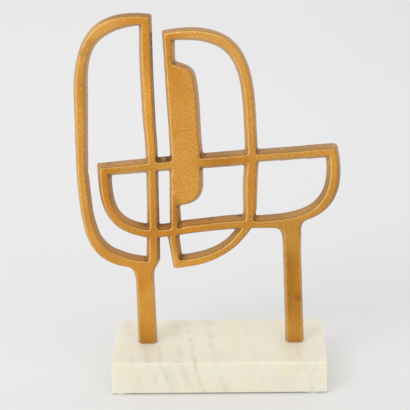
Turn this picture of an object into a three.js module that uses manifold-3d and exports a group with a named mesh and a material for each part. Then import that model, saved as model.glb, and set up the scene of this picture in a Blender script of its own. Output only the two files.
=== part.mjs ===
// An abstract openwork casting in golden bronze, standing on two stems on a marble plinth.
// Three drafted loops cross in one plane: a tall left loop on a stem, a tall right loop with
// a solid paddle along its inner side, and a long boat-shaped loop on the second stem.
// Millimetres, +Z up. The front of the work faces -Y.
import * as THREE from 'three';
import { mergeVertices } from 'three/addons/utils/BufferGeometryUtils.js';
import { RoundedBoxGeometry } from 'three/addons/geometries/RoundedBoxGeometry.js';
import Module from 'manifold-3d';

// Driving dimensions of the pads and the plinth
const PAD_DIAMETER = 12.7;
const PAD_HEIGHT = 1.5;
const PAD_SIDES = 32;
const PAD_FROM_LEFT = 7.4;
const PAD_FROM_RIGHT = 13.5;
const PAD_FROM_FRONT = 7.5;
const PLINTH_WIDTH = 200;
const PLINTH_DEPTH = 93;
const PLINTH_HEIGHT = 31;
const PLINTH_EDGE_RADIUS = 1;
const PLINTH_EDGE_STEPS = 2;
const PLINTH_TOP = PAD_HEIGHT + PLINTH_HEIGHT;

// The casting leaves a two-part mould: every flank leans in from a narrow land at mid-depth
const CASTING_DEPTH = 12;
const PARTING_LAND = 0.6;
const FLANK_DEPTH = (CASTING_DEPTH - PARTING_LAND) / 2;
const CURVE_STEPS = 26;

// The window cutters run this much past both faces, and the stems this far below the marble's top
const CUTTER_OVERRUN = 1.25;
const STEM_OVERRUN = 12;
const STEM_END = PLINTH_TOP - STEM_OVERRUN;

// Outlines at mid-depth, where the bars are widest: x from the middle of the plinth, then height.
// A step of one point is a straight run to it, and a step of three is a curve with two handles.
// outerDraft and windowDraft are how far a flank leans in between mid-depth and the face.
const LEFT_LOOP = {
  outerDraft: 2.1,
  windowDraft: 2.9,
  outline: [
    [[-78, STEM_END]],
    [[-77.5, 92]],
    [[-77.8, 103], [-79, 109.4], [-85.5, 110.4]],
    [[-128, 116.8], [-125.6, 163.5], [-127, 205]],
    [[-125.4, 270]],
    [[-124.4, 320], [-113.3, 358.3], [-52.5, 349.4]],
    [[-52, 215]],
    [[-53, 140]],
    [[-53.4, 120]],
    [[-54, 112.5], [-59.5, 110.5], [-59.8, 102]],
    [[-59.4, STEM_END]],
  ],
  window: [
    [[-64.2, 339.2]],
    [[-114.9, 334.3], [-110.5, 305.5], [-112.6, 270]],
    [[-116.1, 205]],
    [[-112, 165], [-121, 127.6], [-66.6, 121]],
    [[-64.6, 150]],
    [[-63.2, 215]],
  ],
};

const RIGHT_LOOP = {
  outerDraft: 2,
  windowDraft: 3.3,
  outline: [
    [[-44.3, 334.8]],
    [[27, 347.4], [35.7, 308.8], [37.8, 255]],
    [[39.3, 208]],
    [[38.6, 182], [38.2, 157], [31.5, 146.5]],
    [[15.2, 121.6], [-7, 110.5], [-41.5, 108.4]],
    [[-45.8, 139.5]],
    [[-43.6, 154]],
    [[-42.2, 205]],
    [[-40.9, 218]],
  ],
  window: [
    [[-32.9, 325.6]],
    [[21.6, 328.7], [24.2, 297.5], [26, 255]],
    [[26.9, 224]],
    [[25.6, 208]],
    [[24.3, 163]],
    [[24, 153], [19, 149], [12.8, 142]],
    [[2.8, 129.6], [-16, 123.8], [-33, 122.6]],
    [[-34.8, 141.5]],
    [[-32.7, 155.5]],
    [[-33.2, 170.7]],
    [[-20.8, 172], [-11.7, 176.4], [-11.2, 193]],
    [[-10.8, 222]],
    [[-12.9, 245], [-11.4, 268.5], [-14.6, 290]],
    [[-16, 303.5], [-24.4, 304.1], [-33, 307.4]],
  ],
};

const BOAT_LOOP = {
  outerDraft: 3,
  windowDraft: 3.8,
  outline: [
    [[-108, 213.2]],
    [[-37, 219.8], [34, 225], [104.8, 228.8]],
    [[108.4, 229], [110.3, 228.2], [111, 225]],
    [[118.2, 190.9], [111.6, 164.5], [84, 154.9]],
    [[80, 153.5], [78, 150.2], [78, 143]],
    [[81.2, STEM_END]],
    [[62.5, STEM_END]],
    [[60.2, 136]],
    [[60, 143.4], [58, 147], [52.5, 147]],
    [[-10, 149.5], [-48, 136.5], [-65.8, 139.5]],
    [[-108, 147], [-108.2, 177.6], [-108, 213.2]],
  ],
  window: [
    [[-94.8, 201]],
    [[99.8, 215.1]],
    [[105.6, 164.9], [73.3, 162.1], [38, 160.5]],
    [[5, 161], [-35, 152.8], [-60, 153.2]],
    [[-93, 156], [-94.7, 174.3], [-94.8, 201]],
  ],
};

// The boat's stem leans in less than the boat, and its upper end lies inside the boat
const RIGHT_STEM = {
  outerDraft: 2,
  outline: [
    [[78, 155]],
    [[78, 143]],
    [[81.2, STEM_END]],
    [[62.5, STEM_END]],
    [[60.2, 136]],
    [[60.2, 155]],
  ],
};

// Finishes
const GOLDEN_BRONZE = { color: 0xd0933f, roughness: 0.42, metalness: 0.9 };
const CREAM_MARBLE = { color: 0xece5d0, roughness: 0.25, metalness: 0 };
const CLEAR_RUBBER = { color: 0xe6dfcc, roughness: 0.6, metalness: 0 };

const wasm = await Module();
wasm.setup();

// Draw a closed outline from its steps
function drawOutline(steps) {
  const shape = new THREE.Shape();
  steps.forEach((step, index) => {
    const points = step.flat();
    if (index === 0) shape.moveTo(...points);
    else if (step.length === 1) shape.lineTo(...points);
    else shape.bezierCurveTo(...points);
  });
  return shape;
}

// Extrude an outline about mid-depth. lean is how far the flanks go outwards over flankDepth,
// from the mid-depth land to the two faces.
function extrudeDrafted(steps, flankDepth, lean) {
  const geometry = new THREE.ExtrudeGeometry(drawOutline(steps), {
    depth: PARTING_LAND,
    curveSegments: CURVE_STEPS,
    bevelEnabled: true,
    bevelSegments: 1,
    bevelThickness: flankDepth,
    bevelSize: -lean,
    bevelOffset: lean,
  });
  return geometry.translate(0, 0, -PARTING_LAND / 2);
}

// Turn geometry drawn in x and height upright, so that the drawing's depth runs to -Y
function standUpright(geometry) {
  const upright = new THREE.Matrix4().set(
    1, 0, 0, 0,
    0, 0, -1, 0,
    0, 1, 0, 0,
    0, 0, 0, 1,
  );
  return geometry.applyMatrix4(upright);
}

function toSolid(geometry) {
  const bare = geometry.clone();
  bare.deleteAttribute('normal');
  bare.deleteAttribute('uv');
  const merged = mergeVertices(bare);
  return new wasm.Manifold(new wasm.Mesh({
    numProp: 3,
    vertProperties: new Float32Array(merged.attributes.position.array),
    triVerts: new Uint32Array(merged.index.array),
  }));
}

function toGeometry(solid) {
  const mesh = solid.getMesh();
  const geometry = new THREE.BufferGeometry();
  geometry.setAttribute('position', new THREE.BufferAttribute(mesh.vertProperties, mesh.numProp));
  geometry.setIndex(new THREE.BufferAttribute(mesh.triVerts, 1));
  geometry.computeVertexNormals();
  return geometry;
}

// The drafted body of a loop or a stem
function makeBody(form) {
  const body = extrudeDrafted(form.outline, FLANK_DEPTH, -form.outerDraft);
  return toSolid(standUpright(body));
}

// One loop: its body with the window cut through
function makeLoop(loop) {
  const cutterDepth = FLANK_DEPTH * CUTTER_OVERRUN;
  const cutter = extrudeDrafted(loop.window, cutterDepth, loop.windowDraft * CUTTER_OVERRUN);
  return makeBody(loop).subtract(toSolid(standUpright(cutter)));
}

// The loops and the stem are cast as one, and both stems end flat on the marble
function makeCasting() {
  const loops = [LEFT_LOOP, RIGHT_LOOP, BOAT_LOOP].map(makeLoop);
  const joined = loops[0].add(loops[1]).add(loops[2]).add(makeBody(RIGHT_STEM));
  const below = new THREE.BoxGeometry(2 * PLINTH_WIDTH, PLINTH_DEPTH, 2 * STEM_OVERRUN);
  below.translate(0, 0, PLINTH_TOP - STEM_OVERRUN);
  return toGeometry(joined.subtract(toSolid(below)));
}

function makePlinth() {
  const block = new RoundedBoxGeometry(
    PLINTH_WIDTH, PLINTH_DEPTH, PLINTH_HEIGHT, PLINTH_EDGE_STEPS, PLINTH_EDGE_RADIUS,
  );
  return block.translate(0, 0, PAD_HEIGHT + PLINTH_HEIGHT / 2);
}

function makePad() {
  const radius = PAD_DIAMETER / 2;
  const disc = new THREE.CylinderGeometry(radius, radius, PAD_HEIGHT, PAD_SIDES);
  return standUpright(disc).translate(0, 0, PAD_HEIGHT / 2);
}

function addPiece(group, name, geometry, finish) {
  const mesh = new THREE.Mesh(geometry, new THREE.MeshStandardMaterial(finish));
  mesh.name = name;
  group.add(mesh);
  return mesh;
}

const sculpture = new THREE.Group();
const casting = addPiece(sculpture, 'bronze_casting', makeCasting(), GOLDEN_BRONZE);
addPiece(sculpture, 'marble_plinth', makePlinth(), CREAM_MARBLE);
for (const [row, frontBack] of [['front', -1], ['back', 1]]) {
  for (const [side, leftRight, inset] of [['left', -1, PAD_FROM_LEFT], ['right', 1, PAD_FROM_RIGHT]]) {
    const pad = addPiece(sculpture, `foot_pad_${row}_${side}`, makePad(), CLEAR_RUBBER);
    pad.position.x = leftRight * (PLINTH_WIDTH / 2 - inset);
    pad.position.y = frontBack * (PLINTH_DEPTH / 2 - PAD_FROM_FRONT);
  }
}

// The casting reaches further to the left than to the right, and the origin is under the middle
casting.geometry.computeBoundingBox();
const reach = casting.geometry.boundingBox;
sculpture.position.x = -(reach.min.x + reach.max.x) / 2;

export default sculpture;
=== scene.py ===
# %% [markdown]
# # A golden openwork casting on a marble plinth
# The work is one flat bronze casting: three crossing loops, a solid paddle and two stems. It stands on a
# cream marble block with four clear bumper pads under it. Its solids are ready, in metres, with +Z up and
# the front facing -Y. This lesson dresses them. Each solid is replaced by a mesh with the softness and
# wear of the real piece, and each mesh gets a finish that is made of nodes.

# %% Load the solids
import math

import bmesh
import bpy
from mathutils import Matrix, Vector


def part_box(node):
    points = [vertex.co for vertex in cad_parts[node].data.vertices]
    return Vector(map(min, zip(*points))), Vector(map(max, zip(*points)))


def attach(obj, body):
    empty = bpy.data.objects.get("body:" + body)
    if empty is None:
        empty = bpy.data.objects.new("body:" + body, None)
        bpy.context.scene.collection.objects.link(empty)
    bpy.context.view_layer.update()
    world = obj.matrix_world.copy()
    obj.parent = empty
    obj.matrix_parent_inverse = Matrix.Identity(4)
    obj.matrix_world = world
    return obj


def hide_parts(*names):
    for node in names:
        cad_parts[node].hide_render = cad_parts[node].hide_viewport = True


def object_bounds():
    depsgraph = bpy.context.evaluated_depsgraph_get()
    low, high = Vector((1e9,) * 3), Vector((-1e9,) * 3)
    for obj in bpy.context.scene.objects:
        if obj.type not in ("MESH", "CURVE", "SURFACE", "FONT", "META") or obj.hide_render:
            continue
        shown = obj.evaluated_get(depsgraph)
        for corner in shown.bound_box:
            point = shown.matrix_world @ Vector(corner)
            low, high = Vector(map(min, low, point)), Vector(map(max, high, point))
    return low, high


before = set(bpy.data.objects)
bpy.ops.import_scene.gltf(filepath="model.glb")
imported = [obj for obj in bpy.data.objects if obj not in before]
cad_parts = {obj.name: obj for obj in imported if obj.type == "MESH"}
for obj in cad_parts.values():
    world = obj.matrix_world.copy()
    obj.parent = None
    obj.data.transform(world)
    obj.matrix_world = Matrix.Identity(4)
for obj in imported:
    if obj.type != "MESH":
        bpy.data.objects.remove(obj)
cad_low, cad_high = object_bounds()
MM = 0.001
print("solids:", ", ".join(sorted(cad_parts)))
print("size in mm:", [round(side / MM, 1) for side in cad_high - cad_low])

# %% [markdown]
# ## The camera
# The marble block's corners tell where the camera stood: 1.1 m in front of the work and above it, looking
# down by about twenty degrees, and turned and rolled by a degree or two. Its focal length was measured in
# pixels of a square picture, so the lens follows from the width of the sensor. The three directions are
# worked out from the angles and set as the columns of the camera's matrix, which needs no rotation order.

# %% Place the camera
PICTURE_PIXELS = 410
FOCAL_PIXELS = 1300
CAMERA_PLACE = Vector((39.6, -1119.8, 587.9)) * MM
CAMERA_YAW = math.radians(-2.22)
CAMERA_PITCH = math.radians(-20.41)
CAMERA_ROLL = math.radians(-1.57)


def place_camera():
    ahead = Vector((
        math.sin(CAMERA_YAW) * math.cos(CAMERA_PITCH),
        math.cos(CAMERA_YAW) * math.cos(CAMERA_PITCH),
        math.sin(CAMERA_PITCH),
    ))
    level = Vector((math.cos(CAMERA_YAW), -math.sin(CAMERA_YAW), 0))
    upright = level.cross(ahead)
    right = level * math.cos(CAMERA_ROLL) + upright * math.sin(CAMERA_ROLL)
    up = upright * math.cos(CAMERA_ROLL) - level * math.sin(CAMERA_ROLL)
    lens = bpy.data.cameras.new("camera")
    lens.lens = lens.sensor_width * FOCAL_PIXELS / PICTURE_PIXELS
    camera = bpy.data.objects.new("camera", lens)
    bpy.context.scene.collection.objects.link(camera)
    turn = Matrix((right, up, -ahead)).transposed()
    camera.matrix_world = Matrix.Translation(CAMERA_PLACE) @ turn.to_4x4()
    bpy.context.scene.camera = camera
    return camera


camera = place_camera()
print("lens in mm:", round(camera.data.lens, 1))

# %% [markdown]
# ## Writing nodes as Python
# A finish is a graph of nodes, and so is a shape made by Geometry Nodes. Both read better as sums than as
# lists of links, so a small class wraps one output socket and gives it Python's operators. A sum on numbers
# adds Math nodes, and a sum on vectors adds Vector Math nodes, because a Math node would turn a colour
# grey. Every other node comes from one method, which takes its type, its settings and its sockets.

# %% Signals
class Signal:
    """One output socket of a tree, which can be used in sums."""

    def __init__(self, tree, socket):
        self.tree = tree
        self.socket = socket

    def combine(self, operation, *terms):
        vectors = [term for term in terms if isinstance(term, Signal) and term.socket.type == "VECTOR"]
        kind = "ShaderNodeVectorMath" if vectors else "ShaderNodeMath"
        return self.tree.node(kind, {"operation": operation}, dict(enumerate(terms)))

    def __add__(self, other):
        return self.combine("ADD", self, other)

    def __radd__(self, other):
        return self.combine("ADD", other, self)

    def __sub__(self, other):
        return self.combine("SUBTRACT", self, other)

    def __rsub__(self, other):
        return self.combine("SUBTRACT", other, self)

    def __mul__(self, other):
        return self.combine("MULTIPLY", self, other)

    def __rmul__(self, other):
        return self.combine("MULTIPLY", other, self)

    def __truediv__(self, other):
        return self.combine("DIVIDE", self, other)

    def __rtruediv__(self, other):
        return self.combine("DIVIDE", other, self)

    def __abs__(self):
        return self.combine("ABSOLUTE", self)


print("a signal stands for one socket")


# %% Trees
def find_socket(sockets, key):
    """A socket by its number, or the one in use that has this name."""
    if isinstance(key, int):
        return sockets[key]
    return next(socket for socket in sockets if socket.enabled and socket.name == key)


class Tree:
    """A node tree that is written line by line."""

    def __init__(self, graph):
        self.graph = graph

    def node(self, kind, settings=None, sockets=None, output=0):
        made = self.graph.nodes.new(kind)
        for name, value in (settings or {}).items():
            setattr(made, name, value)
        for key, value in (sockets or {}).items():
            socket = find_socket(made.inputs, key)
            if isinstance(value, Signal):
                self.graph.links.new(value.socket, socket)
            elif socket.type == "VECTOR" and not hasattr(value, "__len__"):
                socket.default_value = (value, value, value)
            else:
                socket.default_value = value
        if not made.outputs:
            return None
        return Signal(self, find_socket(made.outputs, output))

    def noise(self, place, size, detail=2, seed=0):
        """Noise from 0 to 1 whose patches are about as large as size."""
        sockets = {"Vector": place, "W": seed, "Scale": 1 / size, "Detail": detail}
        return self.node("ShaderNodeTexNoise", {"noise_dimensions": "4D"}, sockets)

    def ease(self, value, start, end):
        """0 up to start and 1 from end on, with a soft change between them."""
        sockets = {"Value": value, "From Min": start, "From Max": end}
        return self.node("ShaderNodeMapRange", {"interpolation_type": "SMOOTHSTEP"}, sockets)

    def axes(self, vector):
        """The three numbers of a vector."""
        parts = self.node("ShaderNodeSeparateXYZ", {}, {0: vector}).socket.node.outputs
        return [Signal(self, socket) for socket in parts]

    def mix(self, share, first, second, blend="MIX"):
        """One colour laid over another by a share from 0 to 1."""
        settings = {"data_type": "RGBA", "blend_type": blend}
        return self.node("ShaderNodeMix", settings, {"Factor": share, "A": first, "B": second}, "Result")


print("a tree stands for all the nodes of a finish or shape")


# %% Start and end a finish
STRAIGHT_UP_TO = 0.04045
STRAIGHT_SLOPE = 12.92
CURVE_OFFSET = 0.055
CURVE_POWER = 2.4


def linear_light(value):
    """The light of a screen value from 0 to 255, from 0 to 1."""
    share = value / 255
    if share <= STRAIGHT_UP_TO:
        return share / STRAIGHT_SLOPE
    return ((share + CURVE_OFFSET) / (1 + CURVE_OFFSET)) ** CURVE_POWER


def sunlit(red, green, blue):
    """A colour given as screen values, as the linear values that a shader takes."""
    return (linear_light(red), linear_light(green), linear_light(blue), 1)


def start_finish(name):
    """An empty material and the tree of its nodes."""
    material = bpy.data.materials.new(name)
    material.use_nodes = True
    material.node_tree.nodes.clear()
    return material, Tree(material.node_tree)


def close_finish(tree, sockets):
    """The shader that ends a finish."""
    shader = tree.node("ShaderNodeBsdfPrincipled", {}, sockets)
    tree.node("ShaderNodeOutputMaterial", {}, {"Surface": shader})


def bump(tree, height, depth, strength):
    """The tilt that a fine relief gives to a surface."""
    sockets = {"Strength": strength, "Distance": depth, "Height": height}
    return tree.node("ShaderNodeBump", {}, sockets)


print("a screen value of 128 is this share of full light:", round(linear_light(128), 3))

# %% [markdown]
# ## Floor and light
# A work like this is shown on a pale sweep in very soft light. The floor is one wide disc, so that it also
# fills the picture from other sides. A large softbox stands to the left of the camera and a weaker one to
# the right, and an even sky fills the shadows. Most of the light comes from the front, which is why the
# front of the marble is a little brighter than its top, and why the upper flanks of the bars look dull.

# %% Lay the floor
FLOOR_RADIUS = 14.0
FLOOR_SIDES = 96
FLOOR_LIGHT = sunlit(242, 242, 241)
FLOOR_DARK = sunlit(230, 230, 230)
# Painted shade: the floor is darker to the right and towards the front, copying the fall of the studio
# light.
DARK_TO_THE_RIGHT = (-0.1, 0.7)
DARK_TO_THE_FRONT = (0.9, -0.1)
RIGHT_SHARE = 0.6
FRONT_SHARE = 0.35
FLOOR_ROUGHNESS = 0.9


def pale_floor():
    material, tree = start_finish("pale_floor")
    across, depth, _ = tree.axes(tree.node("ShaderNodeTexCoord", output="Object"))
    # Painted shade on the floor, darker to the right and towards the front.
    right = tree.ease(across, *DARK_TO_THE_RIGHT)
    front = tree.ease(depth, *DARK_TO_THE_FRONT)
    colour = tree.mix(RIGHT_SHARE * right + FRONT_SHARE * front, FLOOR_LIGHT, FLOOR_DARK)
    close_finish(tree, {"Base Color": colour, "Roughness": FLOOR_ROUGHNESS})
    return material


def lay_floor():
    mesh = bpy.data.meshes.new("floor")
    form = bmesh.new()
    bmesh.ops.create_circle(form, cap_ends=True, radius=FLOOR_RADIUS, segments=FLOOR_SIDES)
    form.to_mesh(mesh)
    form.free()
    mesh.materials.append(pale_floor())
    floor = bpy.data.objects.new("floor", mesh)
    bpy.context.scene.collection.objects.link(floor)


lay_floor()
print("floor in m across:", 2 * FLOOR_RADIUS)

# %% Set the lights
SKY_COLOUR = sunlit(254, 254, 255)
SKY_STRENGTH = 0.86
WORK_MIDDLE = (cad_low + cad_high) / 2
SOFTBOXES = {
    "key_softbox": {"place": (-2.4, -2.6, 3.2), "size": 1.6, "watts": 33},
    "fill_softbox": {"place": (2.2, -3.0, 1.6), "size": 2.0, "watts": 9},
}


def hang_softbox(name, place, size, watts):
    lamp = bpy.data.lights.new(name, "AREA")
    lamp.size = size
    lamp.energy = watts
    box = bpy.data.objects.new(name, lamp)
    bpy.context.scene.collection.objects.link(box)
    box.location = place
    aim = WORK_MIDDLE - Vector(place)
    box.rotation_euler = aim.to_track_quat("-Z", "Y").to_euler()


def light_sky():
    world = bpy.data.worlds.new("studio")
    bpy.context.scene.world = world
    world.use_nodes = True
    world.node_tree.nodes.clear()
    tree = Tree(world.node_tree)
    glow = tree.node("ShaderNodeBackground", {}, {"Color": SKY_COLOUR, "Strength": SKY_STRENGTH})
    tree.node("ShaderNodeOutputWorld", {}, {"Surface": glow})


light_sky()
for name, softbox in SOFTBOXES.items():
    hang_softbox(name, **softbox)
bpy.context.scene.view_settings.view_transform = "Standard"
print("softboxes:", ", ".join(SOFTBOXES))

# %% [markdown]
# ## From solid to mesh
# A solid's mesh is made of loose triangles, so a copy of it is merged before anything else. A shape tree is
# hung on an object as a modifier, with its named inputs set by their identifiers. When it has done its
# work, the evaluated object is turned into a plain mesh and the modifier is taken off, so that what rides
# on the frame is simply a mesh.

# %% Pieces and their meshes
MERGE_DISTANCE = 0.001 * MM


def new_piece(name, mesh=None):
    piece = bpy.data.objects.new(name, mesh or bpy.data.meshes.new(name))
    bpy.context.scene.collection.objects.link(piece)
    return piece


def copy_solid(node):
    """A new mesh with the form of a solid, its triangles joined."""
    form = bmesh.new()
    form.from_mesh(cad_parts[node].data)
    bmesh.ops.remove_doubles(form, verts=form.verts, dist=MERGE_DISTANCE)
    mesh = bpy.data.meshes.new(node)
    form.to_mesh(mesh)
    form.free()
    return mesh


def freeze(piece):
    """What the modifiers made, as a plain mesh."""
    graph = bpy.context.evaluated_depsgraph_get()
    shaped = piece.evaluated_get(graph)
    mesh = bpy.data.meshes.new_from_object(shaped, preserve_all_data_layers=True, depsgraph=graph)
    mesh.name = piece.name
    piece.modifiers.clear()
    piece.data = mesh
    return piece


def count_triangles(piece):
    return sum(len(face.vertices) - 2 for face in piece.data.polygons)


print("shapes are grown by modifiers and then frozen")

# %% Shape trees
SOCKET_KINDS = {
    int: "NodeSocketInt",
    float: "NodeSocketFloat",
    Vector: "NodeSocketVector",
    bpy.types.Material: "NodeSocketMaterial",
}


def start_shape(name, values):
    """A tree that takes and gives a geometry, with one more named input for each value."""
    graph = bpy.data.node_groups.new(name, "GeometryNodeTree")
    graph.interface.new_socket("Geometry", in_out="OUTPUT", socket_type="NodeSocketGeometry")
    graph.interface.new_socket("Geometry", in_out="INPUT", socket_type="NodeSocketGeometry")
    for label, value in values.items():
        graph.interface.new_socket(label, in_out="INPUT", socket_type=SOCKET_KINDS[type(value)])
    return Tree(graph)


def given(tree, label):
    """One of the tree's named inputs."""
    return tree.node("NodeGroupInput", output=label)


def put(tree, geometry, position):
    """A geometry with its points put at a position."""
    return tree.node("GeometryNodeSetPosition", {}, {"Geometry": geometry, "Position": position})


def move(tree, geometry, offset):
    """A geometry with its points moved by an offset."""
    return tree.node("GeometryNodeSetPosition", {}, {"Geometry": geometry, "Offset": offset})


def close_shape(tree, geometry):
    """The nodes that end a shape: smooth shading, real faces and the finish."""
    geometry = tree.node("GeometryNodeSetShadeSmooth", {}, {"Geometry": geometry})
    geometry = tree.node("GeometryNodeRealizeInstances", {}, {"Geometry": geometry})
    dressed = {"Geometry": geometry, "Material": given(tree, "Finish")}
    geometry = tree.node("GeometryNodeSetMaterial", {}, dressed)
    tree.node("NodeGroupOutput", {}, {"Geometry": geometry})
    return tree


def hang_tree(piece, tree, values):
    """The tree as a modifier of the piece, with its inputs set."""
    modifier = piece.modifiers.new(tree.graph.name, "NODES")
    modifier.node_group = tree.graph
    for item in tree.graph.interface.items_tree:
        if item.in_out == "INPUT" and item.name in values:
            modifier[item.identifier] = values[item.name]


print("kinds of input:", ", ".join(kind.__name__ for kind in SOCKET_KINDS))

# %% [markdown]
# ## The finish of the casting
# The bronze is satin and golden on the faces that were rubbed down, and browner on the flanks, which kept
# more of the skin of the casting. One even colour would look like paint. So the finish is laid on in thin
# shares: faces, flanks, tones, dirt, wear and stains. Several of these shares are also painted light and
# shade, which copy the studio light by the way a point faces. Each step asks where a point lies and which
# way it faces. Four numbers that the shape tree stores on the mesh tell the rest: whether the point is on a
# flank or on a crease, how near an inner corner is, and how near the next bar.

# %% What the finish knows of a point
TURNED_LEFT = (0, -0.7)
TURNED_RIGHT = (0, 0.6)
TURNED_UP = (0.3, 0.8)
TURNED_DOWN = (-0.1, -0.6)
ON_FLANK = (0.06, 0.3)
LOW_BARS = (150 * MM, 90 * MM)
STEM_TOP = (108 * MM, 92 * MM)
RIGHT_STEM_RISE = 42 * MM
RIGHT_SIDE = (50 * MM, 62 * MM)
SKIN_NOISE = {"size": 6 * MM, "detail": 5, "seed": 12}


def stored(tree, name):
    """A number that was stored on the mesh."""
    return tree.node("ShaderNodeAttribute", {"attribute_name": name}, {}, "Fac")


class CastPoint:
    """A point of the casting: where it lies, which way it faces and what is stored there."""

    def __init__(self, tree):
        self.place = tree.node("ShaderNodeTexCoord", output="Object")
        self.across, depth, self.height = tree.axes(self.place)
        self.off_middle = abs(depth)
        self.outward = tree.node("ShaderNodeNewGeometry", output="Normal")
        self.rightward, _, skyward = tree.axes(self.outward)
        self.leftish = tree.ease(self.rightward, *TURNED_LEFT)
        self.rightish = tree.ease(self.rightward, *TURNED_RIGHT)
        self.upward = tree.ease(skyward, *TURNED_UP)
        self.downward = tree.ease(skyward, *TURNED_DOWN)
        self.leaning = tree.ease(stored(tree, "flank"), *ON_FLANK)
        self.crease = stored(tree, "crease")
        self.cornered = stored(tree, "cornered")
        self.sheltered = stored(tree, "sheltered")
        self.skin = tree.noise(self.place, **SKIN_NOISE)
        self.low = tree.ease(self.height, *LOW_BARS)
        rise = RIGHT_STEM_RISE * tree.ease(self.across, *RIGHT_SIDE)
        self.stem = tree.ease(self.height - rise, *STEM_TOP)

    def by_side(self, faces, flanks):
        """One share on the faces and another on the flanks."""
        return faces * (1 - self.leaning) + flanks * self.leaning


print("the stems end", STEM_TOP[0] / MM, "mm up, and on the right", RIGHT_STEM_RISE / MM, "mm higher")

# %% [markdown]
# ### Rubbed faces
# The faces were filed and brushed, so the gold has slow clouds, streaks along the stems and a fine sandy
# grain with light specks and dark pits. An image could hold all this, but noise at several sizes does the
# same at any distance. Each noise has a size in mm and a seed, so that it comes out alike in every run. A
# patch is an oval that fades out to its rim, and picks out the paddle, where the grain is coarsest.

# %% Gold faces
GOLD = sunlit(229, 163, 65)
PALE_GOLD = sunlit(249, 198, 112)
DEEP_GOLD = sunlit(200, 129, 33)
CLOUD_NOISE = {"size": 40 * MM, "detail": 3, "seed": 3}
CLOUD_EDGE = (0.4, 0.6)
CLOUD_SHARE = 0.4
ARCHES = (255 * MM, 345 * MM)
ARCH_SHARE = 0.45
BRUSH_NOISE = {"size": 1.2 * MM, "detail": 2, "seed": 5}
BRUSH_STROKE = (1, 1, 0.04)
BRUSH_SHARE = 0.1
BRUSH_ON_LOW_BARS = 0.2


def brushed_gold(tree, here):
    """Gold with slow clouds, paler in the arches and streaked by the brush."""
    clouds = tree.ease(tree.noise(here.place, **CLOUD_NOISE), *CLOUD_EDGE)
    colour = tree.mix(CLOUD_SHARE * clouds, GOLD, DEEP_GOLD)
    arches = tree.ease(here.height, *ARCHES)
    colour = tree.mix(ARCH_SHARE * arches, colour, PALE_GOLD)
    streaks = tree.noise(here.place * BRUSH_STROKE, **BRUSH_NOISE)
    return tree.mix(BRUSH_SHARE + BRUSH_ON_LOW_BARS * here.low, colour, streaks, "OVERLAY")


print("brush strokes are", round(1 / BRUSH_STROKE[2]), "times as long as wide")

# %% Sandy grain
WORN_AND_HIGHLIT_GOLD = sunlit(249, 203, 124)
SHOULDER_BROWN = sunlit(150, 100, 44)
PADDLE = {"middle": (-16, -6, 239), "reach": (20, 40, 90)}
PATCH_CORE = 0.2
RIGHT_STEM = (20 * MM, 60 * MM)
COARSER = {"low bars": -0.5, "right stem": 0.4, "paddle": 0.1}
SAND_NOISE = {"size": 1.0 * MM, "detail": 2, "seed": 1}
GRAIN_EDGE = (0.34, 0.66)
GRAIN_SHARE = 0.7
SPECK_NOISE = {"size": 2.2 * MM, "detail": 1, "seed": 7}
PIT_NOISE = {"size": 1.7 * MM, "detail": 1, "seed": 61}
SPECK_EDGE = (0.68, 0.76)
SPECK_SHARE = 0.4
PIT_SHARE = 0.5
CALM_LOW_BARS = 0.3


def patch(tree, place, middle, reach):
    """1 in the middle of an oval patch, fading to 0 at its rim. Its sizes are in mm."""
    offset = (place - tuple(Vector(middle) * MM)) * tuple(1 / (side * MM) for side in reach)
    distance = tree.node("ShaderNodeVectorMath", {"operation": "LENGTH"}, {0: offset}, "Value")
    return tree.ease(distance, 1, PATCH_CORE)


def feel_grain(tree, here):
    """How high the sand stands at a point, how bright it is and how coarse."""
    right_stem = here.low * tree.ease(here.across, *RIGHT_STEM)
    paddle = patch(tree, here.place, **PADDLE)
    here.coarse = 1 + COARSER["low bars"] * here.low
    here.coarse = here.coarse + COARSER["right stem"] * right_stem + COARSER["paddle"] * paddle
    here.sand = tree.noise(here.place, **SAND_NOISE)
    here.grain = tree.ease(here.sand, *GRAIN_EDGE)


def sandy(tree, here, colour):
    """Pale and deep grain, light specks and dark pits."""
    colour = tree.mix(here.grain * here.coarse * GRAIN_SHARE, colour, PALE_GOLD)
    colour = tree.mix((1 - here.grain) * here.coarse * GRAIN_SHARE, colour, DEEP_GOLD)
    specks = tree.ease(tree.noise(here.place, **SPECK_NOISE), *SPECK_EDGE)
    colour = tree.mix(specks * (SPECK_SHARE - CALM_LOW_BARS * here.low), colour, WORN_AND_HIGHLIT_GOLD)
    pits = tree.ease(tree.noise(here.place, **PIT_NOISE), *SPECK_EDGE)
    return tree.mix(pits * (PIT_SHARE - CALM_LOW_BARS * here.low), colour, SHOULDER_BROWN)


print("grain in mm:", [noise["size"] / MM for noise in (SAND_NOISE, PIT_NOISE, SPECK_NOISE)])

# %% [markdown]
# ### Flanks, with painted light
# The flanks were not filed. They are golden only where they meet a face, and go grey or brown half way
# through the casting. Much of the change by the way a flank faces is painted light: flanks that look to the
# left are painted lighter, where the key light falls, flanks that look down are painted lighter, as if lit
# by the floor, and flanks that look to the right are painted greyer, a painted reflection of the pale
# studio.
# Those that look up have a brown line along the face and brown spots. One colour near the face and one far
# in would do for each side, but mixing them by the way a flank faces needs no split of the mesh, and fades
# well round the curves.

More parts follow.
